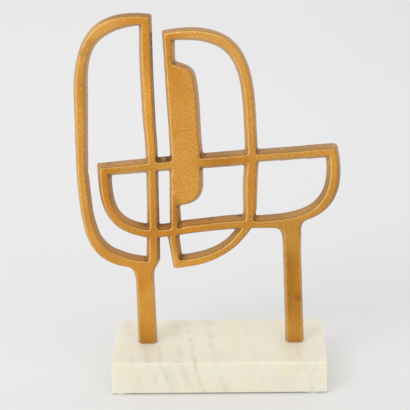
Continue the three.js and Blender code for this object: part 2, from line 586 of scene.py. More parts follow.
# %% Brown flanks
FLANK_GOLD = sunlit(194, 139, 73)
FLANK_PAINTED_LIT = sunlit(214, 178, 136)
FLANK_BROWN = sunlit(192, 157, 121)
FLANK_GREY = sunlit(198, 169, 146)
LIT_LEFT_SHARE = 0.45
PALE_RIGHT = 0.12
PALE_RIGHT_OF_STEMS = 0.25
FAR_IN = (5.6 * MM, 1 * MM)
AGED_HEIGHT = (150 * MM, 215 * MM)
AGED = {"everywhere": 0.55, "higher up": 0.45, "left of stems": 0.4}
FACE_LINE = (4.4 * MM, 5.6 * MM)
FACE_LINE_SHARE = 0.5
SPOT_NOISE = {"size": 3.2 * MM, "detail": 3, "seed": 17}
SPOT_EDGE = (0.55, 0.7)
SPOT_SHARE = 0.4
UNDERSIDE_LIT_SHARE = 0.7
FLANK_SHARE = 0.8
FLANK_SKIN_SHARE = 0.2


def flank_colour(tree, here):
    """The colour of the flanks before dirt and wear, with painted light by the way they face."""
    # Painted light: near the face, flanks that look left are painted paler, where the key light falls, and
    # flanks that look right a little paler, most at the stems.
    pale = LIT_LEFT_SHARE * here.leftish + (PALE_RIGHT + PALE_RIGHT_OF_STEMS * here.stem) * here.rightish
    near_face = tree.mix(pale, FLANK_GOLD, PALE_GOLD)
    # Painted light: far in, flanks that look left are painted lighter and flanks that look right greyer, a
    # painted reflection of the pale studio.
    far_in = tree.mix(here.leftish, tree.mix(here.rightish, FLANK_BROWN, FLANK_GREY), FLANK_PAINTED_LIT)
    age = AGED["everywhere"] + AGED["higher up"] * tree.ease(here.height, *AGED_HEIGHT)
    age = age + AGED["left of stems"] * here.stem * here.leftish
    colour = tree.mix(tree.ease(here.off_middle, *FAR_IN) * age, near_face, far_in)
    line = here.upward * tree.ease(here.off_middle, *FACE_LINE) * FACE_LINE_SHARE
    colour = tree.mix(line, colour, SHOULDER_BROWN)
    spots = tree.ease(tree.noise(here.place, **SPOT_NOISE), *SPOT_EDGE)
    colour = tree.mix(here.upward * spots * SPOT_SHARE, colour, SHOULDER_BROWN)
    # Painted light: flanks that look down are painted lighter, as if lit by the floor.
    return tree.mix(here.downward * UNDERSIDE_LIT_SHARE, colour, FLANK_PAINTED_LIT)


def with_flanks(tree, here, colour):
    """The faces' colour with the flanks' laid over it."""
    share = here.leaning * (FLANK_SHARE + FLANK_SKIN_SHARE * here.skin)
    return tree.mix(share, colour, flank_colour(tree, here))


print("flanks turn brown", round((FAR_IN[0] - FAR_IN[1]) / MM, 1), "mm in from the edge of a face")

# %% [markdown]
# ### Tones
# The stretches make the boat and the stems duller, the crossings warmer, and a few bars brighter. One dull
# stretch, on the flanks of the lower half, is painted shade where the upper bars shade the windows. Painting
# that on an image would work too, but it would need a UV map.
# Here each stretch is a broad patch that multiplies the colour by a tint, with one share for the faces and
# one for the flanks. A stretch is written as its middle, its reach and the two shares, in mm across and up.

# %% Dull, warm and bright stretches
DULL_TINT = sunlit(219, 219, 214)
WARM_TINT = sunlit(238, 216, 160)
BRIGHT_TINT = (1.14, 1.08, 0.82, 1)
TONE_DEPTH = 60
DULL_STRETCHES = [
    ((110, 184), (40, 42), 0.6, 0.9),
    ((104, 172), (36, 30), 0, 0.5),
    ((75, 224), (56, 18), 0.35, 0.6),
    ((60, 152), (70, 24), 0.5, 0.7),
    ((10, 214), (27, 20), 0.5, 0.9),
    ((-70, 212), (50, 16), 0.4, 0.1),
    ((-107, 281), (10, 34), 0.7, 0),
    ((-31, 166), (10, 24), 0.6, 0.2),
    ((12, 130), (34, 20), 0.4, 0.3),
    ((-93, 126), (24, 20), 0.4, 0.3),
    ((-57, 45), (24, 44), 0.25, 0.2),
    ((76, 84), (40, 80), 0.7, 0.3),
    ((72, 98), (9, 55), 0.6, 0.1),
    ((-69, 45), (7, 26), 0.5, 0),
    ((-112, 160), (14, 18), 0.4, 0),
    # Painted shade: the flanks of the lower half, under the upper bars.
    ((-24, 140), (110, 44), 0, 0.6),
    ((-92, 185), (14, 30), 0, 0.8),
    ((10, 153), (20, 9), 0.4, 0),
    ((-101, 325), (11, 11), 0.6, 0),
    ((-62, 348), (44, 20), 0, 0.75),
]
WARM_STRETCHES = [
    ((10, 214), (30, 20), 0.7, 0.2),
    ((86, 96), (24, 62), 0.75, 0.2),
    ((-93, 186), (20, 50), 0.9, 0.2),
    ((35, 246), (6, 52), 0.7, 0),
    ((-22, 284), (18, 28), 0.4, 0),
    ((-66, 94), (13, 16), 0.5, 0),
    ((-53, 190), (9, 90), 0.4, 0),
    ((-56, 336), (28, 70), 0.8, 0),
    ((-30, 320), (20, 40), 0.9, 0),
    ((33, 188), (20, 60), 0.6, 0),
    ((-38, 148), (70, 34), 0.7, 0.3),
    ((-64, 114), (26, 24), 0.2, 0.2),
    ((-31, 168), (9, 22), 0.5, 0),
    ((-36, 160), (90, 18), 0, 0.4),
]
BRIGHT_STRETCHES = [
    ((-50, 262), (10, 70), 0.9, 0),
    ((86, 94), (16, 40), 0.6, 0),
    ((112, 200), (16, 34), 0.6, 0),
]


def tone(tree, here, colour, stretches, tint):
    """A colour multiplied by a tint along some stretches."""
    for (across, height), (wide, tall), faces, flanks in stretches:
        oval = patch(tree, here.place, (across, 0, height), (wide, TONE_DEPTH, tall))
        colour = tree.mix(oval * here.by_side(faces, flanks), colour, tint, "MULTIPLY")
    return colour


TONES = [(DULL_STRETCHES, DULL_TINT), (WARM_STRETCHES, WARM_TINT), (BRIGHT_STRETCHES, BRIGHT_TINT)]
print("dull, warm and bright stretches:", [len(stretches) for stretches, tint in TONES])

# %% [markdown]
# ### Dirt and painted shade
# Polish and dust stay where a cloth can't reach, and the finish paints them together with painted shade: in
# the corners where bars cross, and deep in the long slot between the left loop and the paddle. In the
# corners the painted darkening is less where a surface looks to the left, towards the key light, or down,
# towards the lit floor, and in the slot only the walls that look to the right are darkened. An Ambient
# Occlusion node could find such places in every render. Here two numbers are worked out once, from the
# casting alone, and stay on the mesh.

# %% Dark corners and slot
CORNER_GRIME_AND_SHADE = sunlit(88, 50, 6)
SLOT_DIRT_AND_SHADE = sunlit(88, 58, 28)
CORNER_EDGE = (0.15, 0.8)
OFF_THE_LAND = (0.5 * MM, 4 * MM)
GRIME_AND_SHADE_ON_LAND = 0.3
GRIME_AND_SHADE_SHARE = 0.85
LESS_WHERE_LIT_LEFT = 0.5
LESS_WHERE_LIT_BELOW = 0.7
SLOT_MIDDLE = -48 * MM
SLOT_REACH = (16 * MM, 9 * MM)
SLOT_SHELTER = (0.15, 0.6)
SLOT_SIDE = (0, 0.5)
SLOT_MOTTLE = (0.4, 0.62)
SLOT_EVEN = 0.6
SLOT_BLOTCHES = 0.6
SLOT_SHARE = 0.85


def dirt_and_shade(tree, here, colour):
    """A colour with grime and painted shade in inner corners, and painted shade with dirt on one side of the
    slot.
    """
    off_land = tree.ease(here.off_middle, *OFF_THE_LAND)
    # Painted shade with grime: inner corners are painted dark brown, less where a surface looks left towards
    # the key light or down towards the lit floor.
    grime_and_shade = tree.ease(here.cornered, *CORNER_EDGE) * (GRIME_AND_SHADE_ON_LAND + (1 - GRIME_AND_SHADE_ON_LAND) * off_land)
    grime_and_shade = grime_and_shade * (GRIME_AND_SHADE_SHARE - LESS_WHERE_LIT_LEFT * here.leftish)
    colour = tree.mix(grime_and_shade * (1 - LESS_WHERE_LIT_BELOW * here.downward), colour, CORNER_GRIME_AND_SHADE)
    # Painted shade with dirt: deep in the slot, walls that look to the right, away from the key light, are
    # painted dark brown, mottled by the skin noise.
    slot = tree.ease(abs(here.across - SLOT_MIDDLE), *SLOT_REACH)
    shade = slot * tree.ease(here.sheltered, *SLOT_SHELTER) * tree.ease(here.rightward, *SLOT_SIDE)
    shade = shade * (SLOT_EVEN + SLOT_BLOTCHES * tree.ease(here.skin, *SLOT_MOTTLE))
    return tree.mix(shade * SLOT_SHARE, colour, SLOT_DIRT_AND_SHADE)


print("the slot's middle is", SLOT_MIDDLE / MM, "mm across")

# %% [markdown]
# ### Wear, painted highlight and painted shade
# Hands and cloths rub the creases bright, and the bright creases are also a painted highlight: they are
# painted brightest on the upper left, where the key light falls. The creases that look to the right are
# painted brown, as painted shade. Blender's Pointiness would find creases too, but it depends on how a mesh
# is cut into faces. So the crease is a stored number, measured while the faces are still even, and its side
# comes from the way the surface faces. The stems and the tops of the arches get less of the bright creases.

# %% Worn and painted creases
LIT_AND_RUBBED_SIDE = (-0.85, 0, 0.8)
RUBBED_TURN = (0, 0.2)
RUBBED_ELSEWHERE = 0.05
RUBBED_SHARE = 0.9
LESS_ON_FLANKS = 0.7
LESS_ON_STEMS = 0.75
LESS_ON_TOPS = 0.5
ARCH_TOPS = (332 * MM, 348 * MM)
WORN_AND_HIGHLIT_CREASE = (0.08, 0.45)
WORN_EVEN = 0.6
WORN_MOTTLE = (0.35, 0.6)
SHOULDER_CREASE = (0.05, 0.5)
SHOULDER_TURN = (0.02, 0.2)
SHOULDER_SHARE = 0.3


def dot(tree, first, second):
    """How far one vector goes along another."""
    return tree.node("ShaderNodeVectorMath", {"operation": "DOT_PRODUCT"}, {0: first, 1: second}, "Value")


def worn(tree, here, colour):
    """A colour with brown creases on the right, which are painted shade, and bright ones on the upper left,
    which are wear and painted highlight.
    """
    # Painted shade: creases that look to the right are painted brown, less on the stems.
    shoulder_shade = tree.ease(here.crease, *SHOULDER_CREASE) * tree.ease(here.rightward, *SHOULDER_TURN)
    shoulder_shade = shoulder_shade * (SHOULDER_SHARE - SHOULDER_SHARE * here.stem)
    colour = tree.mix(shoulder_shade, colour, SHOULDER_BROWN)
    # Painted highlight with wear: creases that face the upper left, where the key light falls, are painted
    # brighter.
    handled_and_lit = tree.ease(dot(tree, here.outward, LIT_AND_RUBBED_SIDE), *RUBBED_TURN)
    rubbed = RUBBED_ELSEWHERE + RUBBED_SHARE * handled_and_lit
    rubbed = rubbed * (1 - LESS_ON_FLANKS * here.leaning) * (1 - LESS_ON_STEMS * here.stem)
    rubbed = rubbed * (1 - LESS_ON_TOPS * tree.ease(here.height, *ARCH_TOPS))
    mottle = WORN_EVEN + (1 - WORN_EVEN) * tree.ease(here.skin, *WORN_MOTTLE)
    bright = tree.ease(here.crease, *WORN_AND_HIGHLIT_CREASE) * rubbed * mottle
    return tree.mix(bright, colour, WORN_AND_HIGHLIT_GOLD)


# The worn side is also the side of the painted highlight, towards the key light.
lit_and_rubbed_angle = math.degrees(math.atan2(LIT_AND_RUBBED_SIDE[2], -LIT_AND_RUBBED_SIDE[0]))
print("the worn side is", round(lit_and_rubbed_angle), "degrees above left")

# %% [markdown]
# ### Stains, painted shade and nicks
# A few brown marks sit at the crossings and in the slot: they are partly stains and partly painted shade in
# those hollows. Two nicks show bright metal, and the feet darken a little above the stone. These are single
# marks, so each has a place, a reach and its shares, in mm.

# %% Single marks
STAIN_AND_SHADE_BROWN = sunlit(84, 52, 24)
STAINS_AND_SHADOWS = [
    {"middle": (84, -6, 80), "reach": (9, 8, 7), "faces": 0.5, "flanks": 0.5},
    {"middle": (-40, 0, 217), "reach": (13, 16, 8), "faces": 0.1, "flanks": 0.9},
    {"middle": (-61, 0, 153), "reach": (9, 7, 5), "faces": 0.6, "flanks": 0.6},
    {"middle": (-41, 0, 152), "reach": (9, 7, 6), "faces": 0.5, "flanks": 0.5},
    {"middle": (-26, -4, 120), "reach": (6, 6, 5), "faces": 0.6, "flanks": 0.6},
    {"middle": (-3, -4, 221), "reach": (5, 6, 5), "faces": 0.4, "flanks": 0.4},
    {"middle": (1, 0, 158), "reach": (4, 6, 3), "faces": 0.5, "flanks": 0.5},
    {"middle": (28, 0, 161), "reach": (4, 6, 3), "faces": 0.7, "flanks": 0.7},
    {"middle": (-91, 0, 213), "reach": (5, 6, 3), "faces": 0.4, "flanks": 0.4},
    {"middle": (-108, -6, 317), "reach": (6, 4, 6), "faces": 0.35, "flanks": 0.35},
]
STAIN_EVEN = 0.3
STAIN_MOTTLE = (0.35, 0.6)
NICKS = [
    {"middle": (-32, -6, 186.2), "reach": (1.6, 3, 1.6), "share": 0.9},
    {"middle": (67.2, -3, 224.8), "reach": (3, 5, 1.6), "share": 0.3},
]
FOOT_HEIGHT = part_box("bronze_casting")[0].z
DARK_FOOT = (FOOT_HEIGHT + 15 * MM, FOOT_HEIGHT + 2 * MM)
DARK_FOOT_SHARE = 0.14


def marked(tree, here, colour):
    """A colour with stains and painted shade, nicks and darker feet."""
    # Painted shade with stains: the marks keep an even share where the noise is low, so they darken their
    # hollows.
    blotches = STAIN_EVEN + (1 - STAIN_EVEN) * tree.ease(here.skin, *STAIN_MOTTLE)
    for stain in STAINS_AND_SHADOWS:
        blot = patch(tree, here.place, stain["middle"], stain["reach"]) * blotches
        colour = tree.mix(blot * here.by_side(stain["faces"], stain["flanks"]), colour, STAIN_AND_SHADE_BROWN)
    for nick in NICKS:
        spot = patch(tree, here.place, nick["middle"], nick["reach"])
        colour = tree.mix(spot * nick["share"], colour, WORN_AND_HIGHLIT_GOLD)
    foot = tree.ease(here.height, *DARK_FOOT)
    return tree.mix(foot * DARK_FOOT_SHARE, colour, STAIN_AND_SHADE_BROWN)


print("marks:", len(STAINS_AND_SHADOWS), "stains and", len(NICKS), "nicks")

# %% [markdown]
# ### The bronze
# The steps are now laid over each other: faces, flanks, tones, dirt with painted shade, wear with painted
# highlight, and stains with painted shade. Only colour, roughness, metal and a little bump change over the
# surface. The flanks are less metallic and rougher than the faces, because the skin of a casting is partly
# oxide, and a worn crease is smoother.

# %% Golden bronze
METALLIC = 0.88
METALLIC_LESS_ON_FLANKS = 0.3
SATIN = 0.42
ROUGHER_FLANKS = 0.12
ROUGHER_GRAIN = 0.12
SMOOTHER_CREASES = 0.1
SKIN_RELIEF = 0.6
GRAIN_RELIEF = {"depth": 0.3 * MM, "strength": 0.4}


def golden_bronze():
    material, tree = start_finish("golden_bronze")
    here = CastPoint(tree)
    feel_grain(tree, here)
    colour = brushed_gold(tree, here)
    colour = sandy(tree, here, colour)
    colour = with_flanks(tree, here, colour)
    for stretches, tint in TONES:
        colour = tone(tree, here, colour, stretches, tint)
    colour = dirt_and_shade(tree, here, colour)
    colour = worn(tree, here, colour)
    colour = marked(tree, here, colour)
    rough = SATIN + ROUGHER_FLANKS * here.leaning + ROUGHER_GRAIN * (here.grain - 0.5)
    close_finish(tree, {
        "Base Color": colour,
        "Metallic": METALLIC - METALLIC_LESS_ON_FLANKS * here.leaning,
        "Roughness": rough - SMOOTHER_CREASES * here.crease,
        "Normal": bump(tree, here.sand * here.coarse + SKIN_RELIEF * here.skin, **GRAIN_RELIEF),
    })
    return material


bronze = golden_bronze()
print("nodes in the bronze:", len(bronze.node_tree.nodes))

# %% [markdown]
# ## The shape of the casting
# Foundry sand gives no knife edges: creases, corners and feet are rounded by about a millimetre, and long
# bars are never quite straight. A Bevel modifier can't follow so many crossing bars, so the solid is first
# covered with small even faces by a voxel remesh. Then one tree moves those points in small steps, and
# stores the numbers that the finish reads. A reach or softness that is a whole number counts how often a
# value is averaged with its neighbours.

# %% Sizes of the cast skin
CASTING_VOXEL = 0.6 * MM
CASTING_TRIANGLES = 190000
PLINTH_LOW, PLINTH_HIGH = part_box("marble_plinth")
ROUNDED_FOOT = 0.5 * MM
CAST_SKIN = {
    "Lean reach": 12,
    "Lean depth": 1.8 * MM,
    "Rounding": 4,
    "Crease reach": 6,
    "Sharpest crease": 0.1 * MM,
    "Widest gap": 18 * MM,
    "Gap softness": 14,
    "Corner reach": 6 * MM,
    "Corner softness": 5,
    "Wave length": 18 * MM,
    "Wave depth": 0.5 * MM,
    "Grain size": 1.6 * MM,
    "Grain depth": 0.1 * MM,
    "Crown reach": 50,
    "Crown depth": 1.0 * MM,
    "Foot height": PLINTH_HIGH.z,
    "Foot drop": FOOT_HEIGHT - PLINTH_HIGH.z + ROUNDED_FOOT,
    "Seed": 4.0,
    "Finish": bronze,
}
print("the feet are let down by", round(CAST_SKIN["Foot drop"] / MM, 3), "mm")

# %% [markdown]
# ### Bent bars and leaning flanks
# The bars of the real casting sag and swell a little, and its upper flanks fall away towards the faces. The
# first could be sculpted by hand. Here a stretch of a bar is a box, in mm across and up, that fades out at
# its ends and carries its points along by a small move. The second is a drop of the points that face up,
# which grows towards the faces and is blurred so that it leaves no step.

# %% Bend the bars
BENT_STRETCHES = [
    {"across": (-24, 36), "height": (152.5, 166), "fade": (4, 4), "move": (0, 1.4)},
    {"across": (-2, 38), "height": (195, 212.5), "fade": (4, 4), "move": (0, -0.85)},
    {"across": (49, 62), "height": (200, 216.5), "fade": (6, 5), "move": (0, 0.45)},
    {"across": (49, 86), "height": (200, 216.5), "fade": (6, 5), "move": (0, 0.5)},
    {"across": (49, 86), "height": (223, 240), "fade": (6, 5), "move": (0, -0.4)},
    {"across": (-64, -40), "height": (265, 305), "fade": (2, 35), "move": (-0.6, 0)},
    {"across": (-64, -54.5), "height": (265, 305), "fade": (3, 50), "move": (-0.8, 0)},
    {"across": (-130, -117.5), "height": (170, 310), "fade": (3.5, 25), "move": (-0.4, 0)},
    {"across": (-118, -90), "height": (128, 142), "fade": (8, 12), "move": (-0.6, -0.4)},
    {"across": (60, 71), "height": (40, 120), "fade": (3, 20), "move": (0.4, 0)},
    {"across": (82.5, 95), "height": (40, 120), "fade": (3, 25), "move": (-0.5, 0)},
    {"across": (30, 48), "height": (180, 196), "fade": (2, 12), "move": (-0.6, 0)},
    {"across": (-130, 60), "height": (340, 360), "fade": (6, 8), "move": (0, 0.3)},
]


def between(tree, value, ends, fade):
    """1 between the two ends, fading to 0 outside them. All are in mm."""
    first, last = ends
    risen = tree.ease(value, (first - fade) * MM, first * MM)
    return risen * tree.ease(value, (last + fade) * MM, last * MM)


def bend_bars(tree, geometry):
    """Push short stretches of the bars sideways or up."""
    across, _, height = tree.axes(tree.node("GeometryNodeInputPosition"))
    for stretch in BENT_STRETCHES:
        wide_fade, tall_fade = stretch["fade"]
        share = between(tree, across, stretch["across"], wide_fade)
        share = share * between(tree, height, stretch["height"], tall_fade)
        sideways, up = stretch["move"]
        whole = Vector((sideways, 0, up)) * MM
        push = tree.node("ShaderNodeVectorMath", {"operation": "SCALE"}, {0: whole, "Scale": share})
        geometry = move(tree, geometry, push)
    return geometry


print("largest bend in mm:", max(max(abs(part) for part in bend["move"]) for bend in BENT_STRETCHES))

# %% Lean the upper flanks
FACING_UP = (0.25, 0.7)
NEAR_A_FACE = (2 * MM, 6 * MM)
BELOW_ARCHES = (275 * MM, 245 * MM)


def blur(tree, value, steps, weight=1.0, kind="FLOAT"):
    """A value that is averaged with its neighbours as often as an input says."""
    sockets = {"Value": value, "Iterations": given(tree, steps), "Weight": weight}
    return tree.node("GeometryNodeBlurAttribute", {"data_type": kind}, sockets, "Value")


def lean_flanks(tree, geometry):
    """Let the flanks that face up fall away towards the faces."""
    _, depth, height = tree.axes(tree.node("GeometryNodeInputPosition"))
    skyward = tree.axes(tree.node("GeometryNodeInputNormal"))[2]
    share = tree.ease(skyward, *FACING_UP) * tree.ease(abs(depth), *NEAR_A_FACE)
    share = share * tree.ease(height, *BELOW_ARCHES)
    drop = blur(tree, share, "Lean reach") * given(tree, "Lean depth")
    return move(tree, geometry, tree.node("ShaderNodeCombineXYZ", {}, {2: 0 - drop}))


print("the lean ends", BELOW_ARCHES[0] / MM, "mm up")

# %% [markdown]
# ### Numbers for the finish
# How much a point is on a flank follows from the way it faces. Blurred far, the same number shows how near a
# face's rim is. Hollows are found by looking: a ray that leaves the flank straight meets the next bar if
# there is one, and two slanted rays meet the near sides of an inner corner. A short ray counts for more.

# %% Flanks and rims
def keep_number(tree, geometry, name, value):
    """Store a number on every point of a geometry."""
    sockets = {"Geometry": geometry, "Name": name, "Value": value}
    return tree.node("GeometryNodeStoreNamedAttribute", {"data_type": "FLOAT"}, sockets)


def flank_share(tree):
    """0 on the faces and 1 on the flanks."""
    return 1 - abs(tree.axes(tree.node("GeometryNodeInputNormal"))[1])


def keep_flanks(tree, geometry):
    """Store where the flanks are, and where the rims of the faces."""
    flank = flank_share(tree)
    geometry = keep_number(tree, geometry, "flank", flank)
    rim = blur(tree, flank, "Crown reach") * (1 - flank)
    return keep_number(tree, geometry, "rim", rim)


print("stored here: flank and rim")

# %% Hollows and corners
WITHIN_THE_FACES = (1, 0, 1)
THROUGH_THE_CASTING = (0, 1, 0)
SLANT_OUT = 0.5
SLANT_ALONG = 0.87
CORNER_FLANKS = (0.1, 0.4)


def closeness(tree, solid, start, direction, length):
    """1 where a ray meets the solid at once, and 0 where it doesn't within its length."""
    look = {
        "Target Geometry": solid,
        "Source Position": start,
        "Ray Direction": direction,
        "Ray Length": given(tree, length),
    }
    met = tree.node("GeometryNodeRaycast", {}, look, "Is Hit")
    distance = Signal(tree, find_socket(met.socket.node.outputs, "Hit Distance"))
    return met * (1 - distance / given(tree, length))


def keep_hollows(tree, solid):
    """Store how near the next bar is, and how near an inner corner."""
    level = tree.node("GeometryNodeInputNormal") * WITHIN_THE_FACES
    out = tree.node("ShaderNodeVectorMath", {"operation": "NORMALIZE"}, {0: level})
    turn = {0: out, 1: THROUGH_THE_CASTING}
    along = tree.node("ShaderNodeVectorMath", {"operation": "CROSS_PRODUCT"}, turn)
    start = tree.node("GeometryNodeInputPosition") + out * CASTING_VOXEL
    facing = closeness(tree, solid, start, out, "Widest gap")
    geometry = keep_number(tree, solid, "sheltered", blur(tree, facing, "Gap softness"))
    one_way = closeness(tree, solid, start, out * SLANT_OUT + along * SLANT_ALONG, "Corner reach")
    other_way = closeness(tree, solid, start, out * SLANT_OUT - along * SLANT_ALONG, "Corner reach")
    corner = one_way.combine("MAXIMUM", one_way, other_way)
    corner = corner * tree.ease(flank_share(tree), *CORNER_FLANKS)
    return keep_number(tree, geometry, "cornered", blur(tree, corner, "Corner softness"))


print("stored here: sheltered and cornered")

# %% [markdown]
# ### Soft edges, skin and feet
# Averaging the points' places rounds every edge alike, with a low weight at the parting land half way
# through. A point that still stands out from its neighbours is on a crease. Then the skin is lifted by slow
# waves and fine grain, and lowered at the rims, which crowns the faces. Last, the feet, which the rounding
# drew up a little, are let down again and cut flat at the top of the stone.

# %% Round the edges
OFF_THE_MIDDLE = (1 * MM, 4 * MM)
LAND_WEIGHT = 0.15


def round_edges(tree, geometry):
    """Round the edges, and store how sharp a crease is left."""
    position = tree.node("GeometryNodeInputPosition")
    by_face = tree.ease(abs(tree.axes(position)[1]), *OFF_THE_MIDDLE)
    weight = LAND_WEIGHT + (1 - LAND_WEIGHT) * by_face
    geometry = put(tree, geometry, blur(tree, position, "Rounding", weight, "FLOAT_VECTOR"))
    offset = position - blur(tree, position, "Crease reach", kind="FLOAT_VECTOR")
    standing_out = dot(tree, offset, tree.node("GeometryNodeInputNormal"))
    crease = tree.ease(standing_out, 0, given(tree, "Sharpest crease"))
    return keep_number(tree, geometry, "crease", crease * by_face)


print("stored here: crease")

# %% Lift the skin and seat the feet
FOOT_FADE = (FOOT_HEIGHT + 4 * MM, FOOT_HEIGHT + 1 * MM)


def swelling(tree, size, depth):
    """Noise that goes as far in as out, with its size and depth from two inputs."""
    place = tree.node("GeometryNodeInputPosition")
    noise = tree.noise(place, given(tree, size), seed=given(tree, "Seed"))
    return (noise - 0.5) * given(tree, depth)


def lift_skin(tree, geometry):
    """Waves and grain along the way each point faces, and lower rims."""
    rim = tree.node("GeometryNodeInputNamedAttribute", {"data_type": "FLOAT"}, {"Name": "rim"}, "Attribute")
    lift = swelling(tree, "Wave length", "Wave depth") + swelling(tree, "Grain size", "Grain depth")
    lift = lift - rim * given(tree, "Crown depth")
    return move(tree, geometry, tree.node("GeometryNodeInputNormal") * lift)


def seat_feet(tree, geometry):
    """Let the feet down and cut them flat at the stone."""
    x, y, z = tree.axes(tree.node("GeometryNodeInputPosition"))
    sunk = z - given(tree, "Foot drop") * tree.ease(z, *FOOT_FADE)
    seated = z.combine("MAXIMUM", sunk, given(tree, "Foot height"))
    return put(tree, geometry, tree.node("ShaderNodeCombineXYZ", {}, {0: x, 1: y, 2: seated}))


print("the skin waves by", CAST_SKIN["Wave depth"] / MM, "mm")


# %% Grow the casting
def cast_skin():
    tree = start_shape("cast skin", CAST_SKIN)
    geometry = bend_bars(tree, given(tree, "Geometry"))
    geometry = lean_flanks(tree, geometry)
    geometry = keep_flanks(tree, geometry)
    geometry = keep_hollows(tree, geometry)
    geometry = round_edges(tree, geometry)
    geometry = lift_skin(tree, geometry)
    geometry = seat_feet(tree, geometry)
    return close_shape(tree, geometry)


def make_casting():
    piece = new_piece("cast_loops", copy_solid("bronze_casting"))
    remesh = piece.modifiers.new("even faces", "REMESH")
    remesh.mode = "VOXEL"
    remesh.voxel_size = CASTING_VOXEL
    hang_tree(piece, cast_skin(), CAST_SKIN)
    freeze(piece)
    fine = count_triangles(piece)
    thin = piece.modifiers.new("fewer faces", "DECIMATE")
    thin.ratio = CASTING_TRIANGLES / fine
    freeze(piece)
    print("casting triangles:", fine, "thinned to", count_triangles(piece))
    return piece


casting = make_casting()
print("numbers stored on it:", [a.name for a in casting.data.attributes if a.data_type == "FLOAT"])

# %% [markdown]
# ## The finish of the marble
# The block is cream marble, polished but old, with a few thin grey veins that run through it as sheets. On
# the front they lean to the right as they go down, and on the top they drift to the left as they go back. So
# one number is worked out, the place of a point across those sheets, and each vein is a thin band of it that
# noise bends and breaks. Slow clouds of warmer and greyer stone lie behind the veins, and one corner is
# speckled. Marble lets a little light in, so the shader has some subsurface, which softens the shadows.

# %% Stone and veins
MARBLE_CREAM = sunlit(242, 238, 219)
MARBLE_WARM = sunlit(242, 235, 207)
MARBLE_GREY = sunlit(230, 227, 211)
VEIN_GREY = sunlit(180, 174, 168)
STONE_CLOUDS = {"size": 28 * MM, "detail": 4, "seed": 21}
STONE_CLOUD_EDGE = (0.4, 0.7)
STONE_MIST = {"size": 16 * MM, "detail": 5, "seed": 26}
MIST_STRETCH = (1, 0.6, 0.6)
MIST_EDGE = (0.52, 0.75)
MIST_SHARE = 0.7
VEIN_LEAN_BACK = 0.12
VEIN_LEAN_DOWN = 0.3
VEIN_BEND = 9 * MM
BEND_NOISE = {"size": 20 * MM, "detail": 6, "seed": 30}
BREAK_NOISE = {"size": 12 * MM, "detail": 3, "seed": 34}
BREAK_EDGE = (0.3, 0.7)
VEINS = [
    {"at": -73.6, "width": 4.5, "share": 0.2},
    {"at": -58.1, "width": 3.5, "share": 0.24},
    {"at": -46.9, "width": 3.2, "share": 0.32},
    {"at": -30.3, "width": 4.0, "share": 0.22},
    {"at": -26.8, "width": 3.0, "share": 0.2},
    {"at": -15.9, "width": 3.4, "share": 0.34},
    {"at": 3.3, "width": 5.5, "share": 0.26},
    {"at": 41.0, "width": 4.0, "share": 0.1},
    {"at": 84.8, "width": 3.6, "share": 0.2},
]


def cloudy_stone(tree, place):
    """Cream stone with warmer clouds and greyer mist."""
    clouds = tree.noise(place, **STONE_CLOUDS)
    colour = tree.mix(tree.ease(clouds, *STONE_CLOUD_EDGE), MARBLE_CREAM, MARBLE_WARM)
    mist = tree.noise(place * MIST_STRETCH, **STONE_MIST)
    return tree.mix(tree.ease(mist, *MIST_EDGE) * MIST_SHARE, colour, MARBLE_GREY)


def veined(tree, place, colour):
    """A colour with grey veins, which are leaning, bent and broken sheets."""
    across, depth, height = tree.axes(place)
    bend = (tree.noise(place, **BEND_NOISE) - 0.5) * VEIN_BEND
    lean = (depth - PLINTH_LOW.y) * VEIN_LEAN_BACK + (height - PLINTH_HIGH.z) * VEIN_LEAN_DOWN
    sheet = across + lean + bend
    breaks = tree.ease(tree.noise(place, **BREAK_NOISE), *BREAK_EDGE)
    for vein in VEINS:
        band = tree.ease(abs(sheet - vein["at"] * MM), vein["width"] * MM, 0)
        colour = tree.mix(band * breaks * vein["share"], colour, VEIN_GREY)
    return colour


print("veins:", len(VEINS))

# %% Cream marble
SPECKLED_CORNER = {"middle": (94, -42, 27), "reach": (24, 22, 16)}
SPECKLE_NOISE = {"size": 4.5 * MM, "detail": 3, "seed": 44}
SPECKLE_EDGE = (0.5, 0.72)
SPECKLE_SHARE = 0.24
POLISH_NOISE = {"size": 4 * MM, "detail": 5, "seed": 40}
POLISH_RELIEF = {"depth": 0.2 * MM, "strength": 0.1}
POLISHED = 0.22
DULLED = 0.18
LIGHT_IN_STONE = {
    "Subsurface Weight": 0.4,
    "Subsurface Radius": (1, 0.85, 0.6),
    "Subsurface Scale": 5 * MM,
}


def cream_marble():
    material, tree = start_finish("cream_marble")
    place = tree.node("ShaderNodeTexCoord", output="Object")
    colour = veined(tree, place, cloudy_stone(tree, place))
    speckles = tree.ease(tree.noise(place, **SPECKLE_NOISE), *SPECKLE_EDGE)
    corner = patch(tree, place, **SPECKLED_CORNER)
    colour = tree.mix(corner * speckles * SPECKLE_SHARE, colour, VEIN_GREY)
    wear = tree.noise(place, **POLISH_NOISE)
    close_finish(tree, {
        "Base Color": colour,
        "Roughness": POLISHED + DULLED * wear,
        "Normal": bump(tree, wear, **POLISH_RELIEF),
        **LIGHT_IN_STONE,
    })
    return material


marble = cream_marble()
print("nodes in the marble:", len(marble.node_tree.nodes))

# %% [markdown]
# ## The shape of the marble block
# A sawn and polished block has flat sides and a fine arris, which is rubbed round and nibbled here and
# there. A Bevel modifier would make every arris alike. The tree below starts from a box whose points crowd
# towards its edges. Each point is pulled to the nearest place of a smaller box inside and pushed out again
# by a radius, which leaves the sides flat and rounds the edges. Noise makes that radius larger at chips, and
# it is smaller low down, where nobody touches the block.

